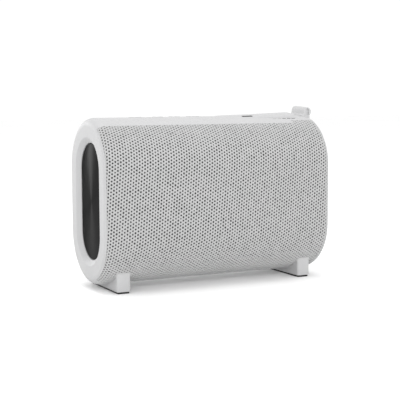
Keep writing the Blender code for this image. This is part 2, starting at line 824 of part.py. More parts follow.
def driver(end, side):
    seat = (side * DRIVER_X, -CABINET_FACE, CENTRE_Z)
    rim_top = DRIVER_RIM
    lip = rim_top + GAP
    mouth = BASKET_RADIUS - BASKET_WALL
    throat = BASKET_NARROW - BASKET_WALL
    floor_top = BASKET_WALL - BASKET_FLOOR
    shoulder = -CABINET_WALL
    frame = [
        (DRIVER_FLANGE, rim_top),
        (DRIVER_FLANGE, GAP),
        (BASKET_RADIUS, GAP),
        (BASKET_RADIUS, shoulder),
        (BASKET_NARROW, floor_top),
        (BASKET_NARROW, -BASKET_FLOOR),
        (COIL_RADIUS + BASKET_WALL, -BASKET_FLOOR),
        (COIL_RADIUS + BASKET_WALL, floor_top),
        (throat, floor_top),
        (mouth, shoulder),
        (mouth, rim_top),
    ]
    turned(f"{end}_driver_frame", frame, seat, True, PLASTIC, closed=True)
    coil_end = COIL_CLEARANCE - BASKET_FLOOR
    cap_edge = CONE_RADIUS - COIL_RADIUS - BASKET_FLOOR
    cone = [
        (0, cap_edge + CAP_RISE + CONE_WALL),
        (COIL_RADIUS / 2, cap_edge + CAP_RISE * CAP_SHOULDER + CONE_WALL),
        (COIL_RADIUS - COIL_WALL, cap_edge + CONE_WALL),
        (CONE_RADIUS - CONE_WALL, lip + CONE_WALL),
        (CONE_RADIUS, lip + CONE_WALL),
        (CONE_RADIUS, lip),
        (COIL_RADIUS, cap_edge),
        (COIL_RADIUS, coil_end),
        (COIL_RADIUS - COIL_WALL, coil_end),
        (COIL_RADIUS - COIL_WALL, cap_edge - CONE_WALL),
        (COIL_RADIUS / 2, cap_edge + CAP_RISE * CAP_SHOULDER),
        (0, cap_edge + CAP_RISE),
    ]
    turned(f"{end}_driver_cone", cone, seat, True, PAPER, closed=False)
    inner = CONE_RADIUS + GAP
    roll_centre = (inner + DRIVER_HOLE) / 2
    roll = (DRIVER_HOLE - inner) / 2 - 2 * SURROUND_THICK
    outer_roll = roll + SURROUND_THICK
    start = math.degrees(math.asin(SURROUND_THICK / outer_roll))
    surround = [(DRIVER_FLANGE - GAP, lip + SURROUND_THICK), (DRIVER_FLANGE - GAP, lip)]
    for angle in spread(0, 180, 4):
        turn = math.radians(angle)
        surround.append((roll_centre + roll * math.cos(turn), lip + roll * math.sin(turn)))
    surround += [(inner, lip), (inner, lip + SURROUND_THICK)]
    for angle in spread(180 - start, start, 4):
        turn = math.radians(angle)
        surround.append(
            (roll_centre + outer_roll * math.cos(turn), lip + outer_roll * math.sin(turn))
        )
    turned(f"{end}_driver_surround", surround, seat, True, RUBBER, closed=True)
    pole = COIL_RADIUS - COIL_WALL - 2 * GAP
    magnet_top = -BASKET_FLOOR - GAP
    magnet = [
        (0, magnet_top + POLE_HEIGHT),
        (pole, magnet_top + POLE_HEIGHT),
        (pole, magnet_top),
        (MAGNET_RADIUS, magnet_top),
        (MAGNET_RADIUS, magnet_top - MAGNET_DEEP),
        (0, magnet_top - MAGNET_DEEP),
    ]
    turned(f"{end}_driver_magnet", magnet, seat, True, STEEL, closed=False)
    hole = cylinder(
        f"{end}_driver_hole",
        DRIVER_HOLE,
        (side * DRIVER_X, -RADIUS, CENTRE_Z),
        RADIUS,
        (0, 1, 0),
        None,
        24,
    )
    cut(front_cabinet, hole)


for end, side in (("left", -1), ("right", 1)):
    driver(end, side)


# Battery and boards ------------------------------------------------------------------------------


def battery():
    pitch = CELL_RADIUS + TRAY_CLEARANCE / 2
    half_length = CELL_LENGTH / 2 + TRAY_CLEARANCE
    half_width = pitch + CELL_RADIUS + TRAY_CLEARANCE
    outer = (half_length + TRAY_WALL, half_width + TRAY_WALL)
    cavity = RADIUS - CABINET_IN
    bottom = LOWER_CENTRE_Z - math.sqrt(cavity**2 - (outer[1] + GAP) ** 2)
    tray = box(
        "battery_tray",
        (-outer[0], -outer[1], bottom),
        (outer[0], outer[1], bottom + TRAY_HEIGHT),
        PLASTIC,
    )
    pocket = box(
        "tray_pocket",
        (-half_length, -half_width, bottom + TRAY_WALL),
        (half_length, half_width, bottom + 2 * TRAY_HEIGHT),
        None,
    )
    cut(tray, pocket)
    height = bottom + TRAY_WALL + TRAY_CLEARANCE + CELL_RADIUS
    for name, side in (("front_battery_cell", -1), ("rear_battery_cell", 1)):
        start = (-CELL_LENGTH / 2, side * pitch, height)
        cylinder(name, CELL_RADIUS, start, CELL_LENGTH, (1, 0, 0), CELL, 24)


def boards():
    low = CENTRE_Z + MAIN_BOARD_LOW
    high = CENTRE_Z + MAIN_BOARD_HIGH
    back = MAIN_BOARD_Y + BOARD_THICK
    box(
        "main_board",
        (-MAIN_BOARD_HALF_LENGTH, MAIN_BOARD_Y, low),
        (MAIN_BOARD_HALF_LENGTH, back, high),
        BOARD,
    )
    pitch = SINK_LENGTH / (2 * SINK_FINS - 1)
    face = back + GAP
    outline = [(-SINK_LENGTH / 2, face), (SINK_LENGTH / 2, face)]
    for i in range(SINK_FINS):
        right = SINK_LENGTH / 2 - 2 * i * pitch
        if i:
            outline.append((right, face + SINK_BASE))
        outline += [(right, face + SINK_DEEP), (right - pitch, face + SINK_DEEP)]
        if i < SINK_FINS - 1:
            outline.append((right - pitch, face + SINK_BASE))
    middle = (low + high) / 2
    heights = (middle - SINK_HEIGHT / 2, middle + SINK_HEIGHT / 2)
    loft("heat_sink", [[(x, y, z) for x, y in outline] for z in heights], ALUMINIUM)


battery()
boards()


# Charging port -----------------------------------------------------------------------------------

PORT_Z = CENTRE_Z - PORT_DROP
PORT_FACE = RADIUS + PORT_PROUD


def through_back(name, length, height, radius, start, stop, look):
    """A rounded block that runs front to back at the port."""
    outline = rounded_outline(length, height, radius)
    rows = [[(x, y, PORT_Z + z) for x, z in outline] for y in (start, stop)]
    return loft(name, rows, look)


def charging_port():
    past_flat = max(PORT_DROP + PORT_HEIGHT / 2 - STRAIGHT, 0)
    inside = math.sqrt((RADIUS - CABINET_IN) ** 2 - past_flat**2) - PORT_INNER
    round_port = PORT_HEIGHT / 2 - GAP
    bezel = through_back("port_bezel", PORT_LENGTH, PORT_HEIGHT, round_port, inside, PORT_FACE, WHITE)
    hole = through_back(
        "port_hole",
        PORT_LENGTH + 2 * GAP,
        PORT_HEIGHT + 2 * GAP,
        round_port + GAP,
        inside - CABINET_WALL,
        PORT_FACE + GAP,
        None,
    )
    for shell in (rear_fabric, rear_grille, rear_cabinet):
        cut(shell, hole)
    mouth = PORT_FACE - SOCKET_RECESS
    round_socket = SOCKET_HEIGHT / 2 - SOCKET_WALL / 2
    room = 2 * GAP
    cut(
        bezel,
        through_back(
            "socket_hole",
            SOCKET_LENGTH + room,
            SOCKET_HEIGHT + room,
            round_socket + GAP,
            inside - GAP,
            PORT_FACE + GAP,
            None,
        ),
    )
    back = mouth - SOCKET_DEEP
    socket = through_back(
        "usb_socket", SOCKET_LENGTH, SOCKET_HEIGHT, round_socket, back, mouth, STEEL
    )
    wall = 2 * SOCKET_WALL
    cut(
        socket,
        through_back(
            "socket_pocket",
            SOCKET_LENGTH - wall,
            SOCKET_HEIGHT - wall,
            round_socket - SOCKET_WALL,
            back + SOCKET_WALL,
            PORT_FACE,
            None,
        ),
    )
    tongue_half = TONGUE_HEIGHT / 2
    tongue = box(
        "socket_tongue",
        (-TONGUE_LENGTH / 2, back + SOCKET_WALL / 2, PORT_Z - tongue_half),
        (TONGUE_LENGTH / 2, mouth - TONGUE_RECESS, PORT_Z + tongue_half),
        None,
    )
    cut(socket, tongue, "UNION")
    box(
        "usb_board",
        (-PORT_LENGTH / 2, inside - GAP - BOARD_THICK, PORT_Z - PORT_HEIGHT / 2),
        (PORT_LENGTH / 2, inside - GAP, PORT_Z + PORT_HEIGHT / 2),
        BOARD,
    )


charging_port()
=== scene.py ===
"""Looks of the portable smart speaker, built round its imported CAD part.

Metres, in the part's frame: +X along the body, -Y to the front, +Z up, and the floor at Z = 0.
"""

import math

import bmesh
import bpy
import numpy as np
from mathutils import Matrix, Vector


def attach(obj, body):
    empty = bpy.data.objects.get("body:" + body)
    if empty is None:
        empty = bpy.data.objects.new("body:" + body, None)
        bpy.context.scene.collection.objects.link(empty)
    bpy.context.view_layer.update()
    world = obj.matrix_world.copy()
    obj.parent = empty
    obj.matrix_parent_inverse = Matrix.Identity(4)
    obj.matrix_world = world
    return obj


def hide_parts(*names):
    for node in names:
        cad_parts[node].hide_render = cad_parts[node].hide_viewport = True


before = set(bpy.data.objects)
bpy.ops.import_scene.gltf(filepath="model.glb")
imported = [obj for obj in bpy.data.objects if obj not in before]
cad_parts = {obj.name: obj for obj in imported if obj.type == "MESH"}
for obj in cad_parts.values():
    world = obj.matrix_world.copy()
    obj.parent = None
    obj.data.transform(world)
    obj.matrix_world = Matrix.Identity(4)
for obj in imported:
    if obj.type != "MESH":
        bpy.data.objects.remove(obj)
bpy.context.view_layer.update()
BODY = "speaker"

# Body, as in the part
LENGTH = 0.200
DEPTH = 0.082
BODY_HEIGHT = 0.131
FLOOR_GAP = 0.0046
RIM_X = 0.0068
RIM_R = 0.0064
SKIN_END = 57  # degrees round the rim
GAP = 0.0003
SKIN = 0.0024
CHASSIS_OUT = SKIN + GAP
TOP_STRIP_ANGLE = 31.5  # degrees each side of the crest
TOP_STRIP_NARROW = 25.7  # the same beside the strap loop
NARROW_START = 0.0745  # along X
BASE_STRIP_ANGLE = 22
CORNER_SHARE = 0.43  # of a key's smaller side

HALF_LENGTH = LENGTH / 2
RADIUS = DEPTH / 2
STRAIGHT = BODY_HEIGHT / 2 - RADIUS
CENTRE_Z = FLOOR_GAP + BODY_HEIGHT / 2
CREST_Z = FLOOR_GAP + BODY_HEIGHT
LOWER_CENTRE_Z = CENTRE_Z - STRAIGHT
RIM_START = HALF_LENGTH - RIM_X
SKIN_STOP = SKIN_END + math.degrees(GAP / RIM_X) / 2  # the line where the skin meets the end rings

# End windows
WINDOW = 0.0217
FLARE_WIDE = 0.0043
FLARE_DEEP = 0.0030
FLARE_POWER = 1.15  # how the flare's slope steepens inwards
FLAT_STOP = 0.0004  # from the end's flat to the flare
PLATE_CLEARANCE = 0.0006
PLATE_RECESS = 0.0033
PLATE_THICK = 0.0014
PLATE_ROUND = 0.0004
HUB = 0.0135
HUB_DEEP = 0.003

# Buttons: name, place along X and length
BUTTONS = (
    ("power_button", -0.0590, 0.0100),
    ("bluetooth_button", -0.0392, 0.0080),
    ("volume_down_button", -0.0247, 0.0086),
    ("volume_up_button", -0.0082, 0.0106),
)
BUTTON_WIDTH = 0.0090
BUTTON_PROUD = 0.0003
BUTTON_ROUND = 0.0003
BUTTON_CLEARANCE = 0.00014
BUTTON_DEEP = 0.0022
HOLE_BELOW = 0.002  # how far a button's cutter passes the skin
HOLE_ABOVE = 0.004

# Raised plate: height above the strip at places along X
PLATE_HALF_WIDTH = 0.0125
PLATE_LINE = ((0.012, 0.0004), (0.046, 0.0013), (0.0805, 0.0025), (0.087, 0.0002))
PLATE_EDGE = 0.0045
PLATE_SINK = 0.0001  # its long edges lie this far under the strip
MIC_X = 0.0373
MIC_Y = -0.0100
MIC_LENGTH = 0.0100
MIC_WIDTH = 0.0022
LIGHT_X = 0.0703
LIGHT_LENGTH = 0.0225
LIGHT_WIDTH = 0.0014
LIGHT_ANGLE = 20.4
LIGHT_COUNT = 5
LIGHT_SPACE = 0.0009  # between two lights
LIGHT_DEEP = 0.0008

# Strap loop
LOOP_RADIUS = 0.0039
LOOP_END_INSET = 0.0
LOOP_RISE = 0.0033
LOOP_HALF_WIDTH = 0.010
LOOP_SLOPE = 0.058
LOOP_FOOT = 0.0016
LOOP_ROUND = 0.0009
LOOP_SUNK = 0.6  # how deep it starts, as a share of the rim's radius
LOOP_HOLLOW = 0.8  # of its rise, taken by the hollow curve at its foot
SLOT_WIDTH = 0.0026
SLOT_HEIGHT = 0.0056
SLOT_DEEP = 0.0008

# Feet
FOOT_X = 0.0815
FOOT_WIDTH = 0.0116
FOOT_HALF_LENGTH = 0.0282
FOOT_BOTTOM = 0.0014
FOOT_CORNER = 0.0019
FOOT_FILLET = 0.0007
FOOT_EASE = 0.0006
PAD_WIDTH = 0.0100
PAD_INSET = 0.0008
PAD_TOP = 0.0023
PAD_ROUND = 0.0003
PAD_CORNER = 0.0012

# Charging port in the back
PORT_DROP = 0.0200
PORT_LENGTH = 0.0180
PORT_HEIGHT = 0.0080
PORT_PROUD = 0.0003
SOCKET_LENGTH = 0.0090
SOCKET_HEIGHT = 0.0033
SOCKET_WALL = 0.00035
SOCKET_RECESS = 0.0006
SOCKET_DEEP = 0.0074
SOCKET_EASE = 0.0001
TONGUE_LENGTH = 0.0066
TONGUE_HEIGHT = 0.0007
PORT_DEEP = 0.006
PORT_EASE = 0.0004
PORT_CORNER = 0.47  # of the smaller side

# Mesh fabric: a net of holes over a dark scrim
HOLE_PITCH = 0.00263
HOLE_TURN = 25.0  # degrees from X to the first row of holes
HOLE_STRETCH = 0.035  # how much longer the net is round the body than along it
HOLE_RINGS = ((0.78, -0.00004), (0.58, 0.00014), (0.50, 0.00065))  # share of the cell, depth
CREST = -0.00010
JITTER = 0.00007
CREST_SPREAD = 0.00003
HOLE_SPREAD = 0.07
HOLE_LIMITS = (0.8, 1.2)
HEM_DIP = 0.00010
HEM_REACH = 0.0012
HEM_DEEP = 0.0010

# Camera solved from the photograph, in degrees, metres and millimetres of lens
CAMERA_AZIMUTH = -26.52
CAMERA_ELEVATION = 5.73
CAMERA_ROLL = -0.27
CAMERA_DISTANCE = 0.8463
CAMERA_TARGET = (-0.0016, 0, 0.0667)
CAMERA_LENS = 92.3

# Light: name, place, size and watts
SOFTBOXES = (
    ("overhead", (-0.1, 0.1, 1.3), (1.2, 1.0), 5.5),
    ("front", (-0.5, -1.9, 0.8), (1.4, 1.0), 22),
    ("back_glow", (-0.64, 1.85, 0.47), (0.4, 0.5), 9),
)
LIGHT_TARGET = (0, 0, 0.07)
WORLD_STRENGTH = 1.06
FLOOR_HALF = 6.0


# Section of the body -----------------------------------------------------------------------------


def spread(start, stop, count):
    return [start + (stop - start) * i / count for i in range(count + 1)]


def crest_drop(y):
    return RADIUS - math.sqrt(max(RADIUS * RADIUS - y * y, 0.0))


def stations(start, stop, step):
    """Angles round the section, 0 at the crest and 90 at the front, each with its arc's centre."""
    marks = [start, *(turn for turn in (90, 270) if start < turn < stop), stop]
    found = []
    for low, high in zip(marks, marks[1:]):
        centre = 1 if math.cos(math.radians((low + high) / 2)) > 0 else -1
        count = max(1, round((high - low) / step))
        found += [(centre, low + (high - low) * i / count) for i in range(count + 1)]
    return found


def place(x, inset, station):
    centre, angle = station
    reach = RADIUS - inset
    turn = math.radians(angle)
    return (x, -reach * math.sin(turn), CENTRE_Z + centre * STRAIGHT + reach * math.cos(turn))


def rim(angle, inset=0.0):
    turn = math.radians(angle)
    return (
        RIM_START + (RIM_X - inset) * math.sin(turn),
        RIM_R - (RIM_R - inset) * math.cos(turn),
    )


def underside(y):
    """Height of the body's surface above the floor, under its middle."""
    return LOWER_CENTRE_Z - math.sqrt(RADIUS * RADIUS - y * y)


def rounded_outline(length, width, radius, steps=8):
    points = []
    for corner in range(4):
        along = (length / 2 - radius) * (1 if corner in (0, 3) else -1)
        across = (width / 2 - radius) * (1 if corner in (0, 1) else -1)
        for angle in spread(corner * 90, corner * 90 + 90, steps):
            turn = math.radians(angle)
            points.append((along + radius * math.cos(turn), across + radius * math.sin(turn)))
    return points


# Mesh helpers ------------------------------------------------------------------------------------


def piece(name, mesh, look, body=BODY, nodes=()):
    """Put a mesh in the scene as a piece that rides on a body and stands for these CAD nodes."""
    obj = bpy.data.objects.new(name, mesh)
    bpy.context.scene.collection.objects.link(obj)
    for each in look if isinstance(look, (list, tuple)) else [look]:
        mesh.materials.append(each)
    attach(obj, body)
    if nodes:
        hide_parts(*nodes)
    return obj


def smooth(mesh, angle=38):
    mesh.shade_smooth()
    mesh.set_sharp_from_angle(angle=math.radians(angle))


def loft(name, rows, ring=False, caps=True, sharp=38):
    """Join closed rows of points in order, capped at the ends or joined in a ring."""
    shape = bmesh.new()
    loops = [[shape.verts.new(point) for point in row] for row in rows]
    pairs = list(zip(loops, loops[1:]))
    if ring:
        pairs.append((loops[-1], loops[0]))
    elif caps:
        shape.faces.new(loops[0])
        shape.faces.new(loops[-1])
    for first, second in pairs:
        count = len(first)
        for i in range(count):
            j = (i + 1) % count
            shape.faces.new((first[i], first[j], second[j], second[i]))
    bmesh.ops.recalc_face_normals(shape, faces=shape.faces)
    mesh = bpy.data.meshes.new(name)
    shape.to_mesh(mesh)
    shape.free()
    smooth(mesh, sharp)
    return mesh


def sweep(name, profile, path, ring=False, sharp=38):
    rows = [[place(x, inset, station) for x, inset in profile] for station in path]
    return loft(name, rows, ring=ring, sharp=sharp)


def upright(name, x, levels, steps=8):
    """Stack outlines at (height, length, width, follows the crest) over a point of the crest."""
    rows = []
    for height, length, width, curved in levels:
        outline = rounded_outline(length, width, min(length, width) * CORNER_SHARE, steps)
        rows.append([(x + a, b, height - (crest_drop(b) if curved else 0)) for a, b in outline])
    return loft(name, rows)


def carve(obj, cutters):
    """Cut hidden helper meshes out of a piece and keep the result as its mesh."""
    helpers = []
    for mesh in cutters:
        helper = bpy.data.objects.new("cutter", mesh)
        bpy.context.scene.collection.objects.link(helper)
        made = obj.modifiers.new("cut", "BOOLEAN")
        made.operation = "DIFFERENCE"
        made.solver = "EXACT"
        made.object = helper
        helpers.append(helper)
    bpy.context.view_layer.update()
    graph = bpy.context.evaluated_depsgraph_get()
    done = bpy.data.meshes.new_from_object(obj.evaluated_get(graph))
    obj.modifiers.clear()
    obj.data = done
    for helper in helpers:
        bpy.data.objects.remove(helper)
    smooth(done)


# Materials ---------------------------------------------------------------------------------------


class Look:
    """A Principled material with its nodes joined by name."""

    def __init__(self, name, **sockets):
        self.material = bpy.data.materials.new(name)
        self.material.use_nodes = True
        self.tree = self.material.node_tree
        self.shader = self.tree.nodes["Principled BSDF"]
        for key, value in sockets.items():
            self.shader.inputs[key.replace("_", " ")].default_value = value
        self.coords = self.tree.nodes.new("ShaderNodeTexCoord")

    def node(self, kind, links=(), **settings):
        made = self.tree.nodes.new("ShaderNode" + kind)
        for key, value in settings.items():
            if hasattr(made, key):
                setattr(made, key, value)
            else:
                made.inputs[key.replace("_", " ")].default_value = value
        for socket, source in links:
            self.tree.links.new(source, made.inputs[socket])
        return made

    def noise(self, scale, detail=2.0, roughness=0.5, source="Object", stretch=None):
        vector = self.coords.outputs[source]
        if stretch:
            moved = self.node("Mapping", [("Vector", vector)])
            moved.inputs["Scale"].default_value = stretch
            vector = moved.outputs["Vector"]
        made = self.node("TexNoise", [("Vector", vector)], Scale=scale, Detail=detail)
        made.inputs["Roughness"].default_value = roughness
        return made.outputs["Fac"]

    def ranged(self, value, low, high, start=0.3, stop=0.7):
        made = self.node("MapRange", [("Value", value)])
        made.inputs["From Min"].default_value = start
        made.inputs["From Max"].default_value = stop
        made.inputs["To Min"].default_value = low
        made.inputs["To Max"].default_value = high
        return made.outputs["Result"]

    def tint(self, value, first, second, start=0.3, stop=0.7):
        ramp = self.node("ValToRGB", [("Fac", value)])
        ramp.color_ramp.elements[0].position = start
        ramp.color_ramp.elements[0].color = (*first, 1)
        ramp.color_ramp.elements[1].position = stop
        ramp.color_ramp.elements[1].color = (*second, 1)
        return ramp.outputs["Color"]

    def multiplied(self, first, second):
        made = self.node("Mix", data_type="RGBA", blend_type="MULTIPLY")
        made.inputs["Factor"].default_value = 1.0
        self.tree.links.new(first, made.inputs[6])
        self.tree.links.new(second, made.inputs[7])
        return made.outputs[2]

    def bump(self, height, strength, distance, under=None):
        made = self.node("Bump", [("Height", height)], Strength=strength, Distance=distance)
        if under:
            self.tree.links.new(under, made.inputs["Normal"])
        return made.outputs["Normal"]

    def join(self, socket, source):
        self.tree.links.new(source, self.shader.inputs[socket])


def grey(value, blue=1.0):
    return (value, value, value * blue)


def silicone(name, value):
    """Soft matt silicone with the fine texture of a blasted mould."""
    look = Look(name, Specular_IOR_Level=0.35, Sheen_Weight=0.12, Sheen_Roughness=0.6)
    broad = look.tint(look.noise(45, 3), grey(value * 0.975, 1.01), grey(value * 1.015, 1.01))
    specks = look.tint(look.noise(5200, 2), grey(0.965), grey(1.0), 0.35, 0.6)
    look.join("Base Color", look.multiplied(broad, specks))
    look.join("Roughness", look.ranged(look.noise(260, 3), 0.50, 0.64))
    coarse = look.bump(look.noise(900, 2), 0.05, 0.0002)
    look.join("Normal", look.bump(look.noise(5200, 2, 0.6), 0.10, 0.00006, coarse))
    return look.material


def knit():
    """Matt polyester yarn: twisted filaments and a light melange."""
    look = Look("knit_fabric", Specular_IOR_Level=0.25, Sheen_Weight=0.25, Sheen_Roughness=0.5)
    yarn = look.tint(look.noise(620, 3, 0.6, "UV"), grey(0.33), grey(0.43), 0.25, 0.75)
    broad = look.tint(look.noise(9, 3, 0.5, "UV"), (0.965, 0.975, 0.97), (1.0, 0.995, 1.0))
    look.join("Base Color", look.multiplied(yarn, broad))
    look.join("Roughness", look.ranged(look.noise(400, 2, 0.5, "UV"), 0.82, 0.96))
    turned = look.node("Mapping", [("Vector", look.coords.outputs["UV"])])
    turned.inputs["Rotation"].default_value = (0, 0, math.radians(35))
    turned_uv = turned.outputs["Vector"]
    twist = look.node("TexWave", [("Vector", turned_uv)], Scale=420.0, Distortion=3.0)
    filaments = look.bump(twist.outputs["Fac"], 0.25, 0.00005)
    fuzz = look.noise(2600, 2, 0.6, "UV")
    look.join("Normal", look.bump(fuzz, 0.35, 0.00006, filaments))
    return look.material


def scrim():
    """The dark open cloth behind the net."""
    look = Look("dark_scrim", Specular_IOR_Level=0.1)
    look.join("Base Color", look.tint(look.noise(1500, 2, 0.5, "UV"), grey(0.030), grey(0.060)))
    look.join("Roughness", look.ranged(look.noise(700, 2, 0.5, "UV"), 0.9, 1.0))
    look.join("Normal", look.bump(look.noise(3000, 2, 0.5, "UV"), 0.4, 0.00005))
    return look.material


def spun_metal():
    """Dark anodised metal, spun about the plate's middle, so its highlight is a bow tie."""
    look = Look("spun_dark_metal", Metallic=1.0, Anisotropic=0.9, Specular_Tint=(0.5, 0.5, 0.5, 1))
    place_of = look.node("SeparateXYZ", [("Vector", look.coords.outputs["Object"])])
    up = look.node("Math", [(0, place_of.outputs["Z"])], operation="SUBTRACT")
    up.inputs[1].default_value = CENTRE_Z
    across = look.node("CombineXYZ", [("Y", place_of.outputs["Y"]), ("Z", up.outputs[0])])
    look.join("Tangent", across.outputs[0])
    radius = look.node("VectorMath", [(0, across.outputs[0])], operation="LENGTH")
    rings = look.node("TexNoise", [("W", radius.outputs["Value"])], noise_dimensions="1D")
    rings.inputs["Scale"].default_value = 5200
    rings.inputs["Detail"].default_value = 3
    look.join("Base Color", look.tint(rings.outputs["Fac"], grey(0.020), grey(0.032)))
    look.join("Roughness", look.ranged(rings.outputs["Fac"], 0.34, 0.44))
    look.join("Normal", look.bump(rings.outputs["Fac"], 0.12, 0.00003))
    return look.material


def rubber():
    look = Look("black_rubber", Specular_IOR_Level=0.3)
    look.join("Base Color", look.tint(look.noise(300, 3), grey(0.008), grey(0.016)))
    look.join("Roughness", look.ranged(look.noise(500, 2), 0.62, 0.82))
    look.join("Normal", look.bump(look.noise(3500, 2), 0.3, 0.00008))
    return look.material


def moulded(name, low, high, roughness):
    look = Look(name, Specular_IOR_Level=0.4)
    look.join("Base Color", look.tint(look.noise(120, 3), low, high))
    look.join("Roughness", look.ranged(look.noise(400, 2), roughness - 0.08, roughness + 0.08))
    look.join("Normal", look.bump(look.noise(4000, 2), 0.15, 0.00006))
    return look.material


def gloss(name, low, high):
    look = Look(name, Coat_Weight=0.6, Coat_Roughness=0.04)
    look.join("Base Color", look.tint(look.noise(90, 2), low, high))
    look.join("Roughness", look.ranged(look.noise(260, 3), 0.10, 0.22))
    look.join("Normal", look.bump(look.noise(700, 2), 0.02, 0.0001))
    return look.material


def board():
    look = Look("circuit_board", Specular_IOR_Level=0.5)
    cells = look.node("TexVoronoi", [("Vector", look.coords.outputs["Object"])])
    cells.inputs["Scale"].default_value = 420
    lacquer = ((0.03, 0.16, 0.07), (0.01, 0.075, 0.035))
    copper = look.tint(cells.outputs["Distance"], *lacquer, 0.2, 0.5)
    look.join("Base Color", copper)
    look.join("Roughness", look.ranged(look.noise(500, 2), 0.3, 0.5))
    look.join("Normal", look.bump(cells.outputs["Distance"], 0.2, 0.0001))
    return look.material


def paper():
    look = Look("coated_paper", Specular_IOR_Level=0.2)
    look.join("Base Color", look.tint(look.noise(700, 4, 0.6), grey(0.04), grey(0.075)))
    look.join("Roughness", look.ranged(look.noise(300, 2), 0.75, 0.92))
    look.join("Normal", look.bump(look.noise(1600, 4, 0.7), 0.5, 0.0001))
    return look.material


def metal(name, low, high, roughness, stretch):
    look = Look(name, Metallic=1.0)
    grain = look.noise(300, 3, 0.6, "Object", stretch)
    look.join("Base Color", look.tint(grain, low, high))
    look.join("Roughness", look.ranged(grain, roughness - 0.07, roughness + 0.07))
    look.join("Normal", look.bump(grain, 0.1, 0.00005))
    return look.material


def wrap():
    look = Look("battery_wrap", Coat_Weight=0.4, Coat_Roughness=0.15)
    look.join("Base Color", look.tint(look.noise(60, 2), (0.03, 0.16, 0.38), (0.05, 0.20, 0.45)))
    look.join("Roughness", look.ranged(look.noise(250, 2), 0.28, 0.42))
    look.join("Normal", look.bump(look.noise(180, 3, 0.5, "Object", (1, 6, 6)), 0.1, 0.0002))
    return look.material


LIGHT_GREY = silicone("light_grey_silicone", 0.415)
BUTTON_GREY = silicone("button_silicone", 0.42)
KNIT = knit()
SCRIM = scrim()
SPUN = spun_metal()
RUBBER = rubber()
PLASTIC = moulded("dark_plastic", grey(0.035), grey(0.055, 1.08), 0.55)
GLOSS = gloss("black_gloss", grey(0.008), grey(0.014, 1.1))
LENS = gloss("smoked_lens", grey(0.04), grey(0.06))
PALE_LENS = gloss("pale_lens", grey(0.30), grey(0.36))
BOARD = board()
PAPER = paper()
STEEL = metal("plain_steel", grey(0.42), grey(0.55), 0.3, (1, 1, 6))
FINS = metal("aluminium", grey(0.66), grey(0.76), 0.34, (1, 1, 0.2))
WRAP = wrap()


# Fabric ------------------------------------------------------------------------------------------

RIM_MEAN = (RIM_X + RIM_R) / 2
HALF_WIDTH = RIM_START + RIM_MEAN * math.radians(SKIN_STOP)
UPPER_START = math.radians(TOP_STRIP_NARROW)
# The strip's extra width away from the strap loop
STEP = RADIUS * (math.radians(TOP_STRIP_ANGLE) - UPPER_START)
UPPER_ARC = RADIUS * (math.pi / 2 - UPPER_START)
LOWER_ARC = RADIUS * (math.pi / 2 - math.radians(BASE_STRIP_ANGLE))
ROUND = UPPER_ARC + 2 * STRAIGHT + LOWER_ARC


def on_body(u, v, depth, side):
    """Where a point of the flat panel lies: u along the body, v round it from the top seam."""
    past = np.maximum(np.abs(u) - RIM_START, 0)
    turn = past / RIM_MEAN
    x = np.sign(u) * (np.minimum(np.abs(u), RIM_START) + (RIM_X - depth) * np.sin(turn))
    inset = RIM_R - (RIM_R - depth) * np.cos(turn)
    upper = UPPER_START + np.clip(v, 0, UPPER_ARC) / RADIUS
    lower = np.clip(v - UPPER_ARC - 2 * STRAIGHT, 0, None) / RADIUS
    down = np.clip(v - UPPER_ARC, 0, 2 * STRAIGHT)
    angle = upper + lower
    reach = RADIUS - inset
    y = side * reach * np.sin(angle)
    z = CENTRE_Z + STRAIGHT - down + reach * np.cos(angle)
    return np.stack([x, y, z], axis=1)


def net(seed):
    """The flat panel as a net of six-sided cells, each a dimple down to the scrim.

    Returns the points, the faces and, for each face, 1 on a dimple's floor and 0 elsewhere.
    """
    turns = np.radians(HOLE_TURN + 60 * np.arange(7))
    stretch = np.array([1 - HOLE_STRETCH, 1 + HOLE_STRETCH])
    near = HOLE_PITCH * np.stack([np.cos(turns), np.sin(turns)], axis=1) * stretch
    corners = (near[:-1] + near[1:]) / 3
    reach = int(2 * HALF_WIDTH / HOLE_PITCH) + 4
    i, j = np.meshgrid(np.arange(-reach, reach + 1), np.arange(-reach, reach + 1))
    centres = i.reshape(-1, 1) * near[0] + j.reshape(-1, 1) * near[1]
    inside = (np.abs(centres[:, 0]) < HALF_WIDTH + HOLE_PITCH) & (
        np.abs(centres[:, 1]) < ROUND / 2 + HOLE_PITCH
    )
    centres = centres[inside]
    count = len(centres)
    draw = np.random.default_rng(seed)
    edge = (centres[:, None, :] + corners[None]).reshape(-1, 2)
    keys, index = np.unique(np.round(edge / 1e-6).astype(np.int64), axis=0, return_inverse=True)
    crest = np.column_stack([keys * 1e-6, CREST + draw.normal(0, CREST_SPREAD, len(keys))])
    rows = [index.reshape(count, 6)]
    points = [crest]
    shift = draw.uniform(-JITTER, JITTER, (count, 1, 2))
    size = draw.normal(1, HOLE_SPREAD, (count, 1, 1)).clip(*HOLE_LIMITS)
    for share, depth in HOLE_RINGS:
        grow = size if depth > 0 else 1.0
        ring = centres[:, None, :] + shift + corners[None] * share * grow
        level = np.full((count, 6, 1), depth)
        rows.append(sum(map(len, points)) + np.arange(count * 6).reshape(count, 6))
        points.append(np.concatenate([ring, level], axis=2).reshape(-1, 3))
    faces = []
    for outer, inner in zip(rows, rows[1:]):
        following = np.roll(outer, -1, axis=1)
        beyond = np.roll(inner, -1, axis=1)
        faces.append(np.stack([outer, following, beyond, inner], axis=2).reshape(-1, 4))
    walls = np.concatenate(faces).tolist()
    floors = rows[-1].tolist()
    return np.concatenate(points), walls + floors, [0] * len(walls) + [1] * len(floors)


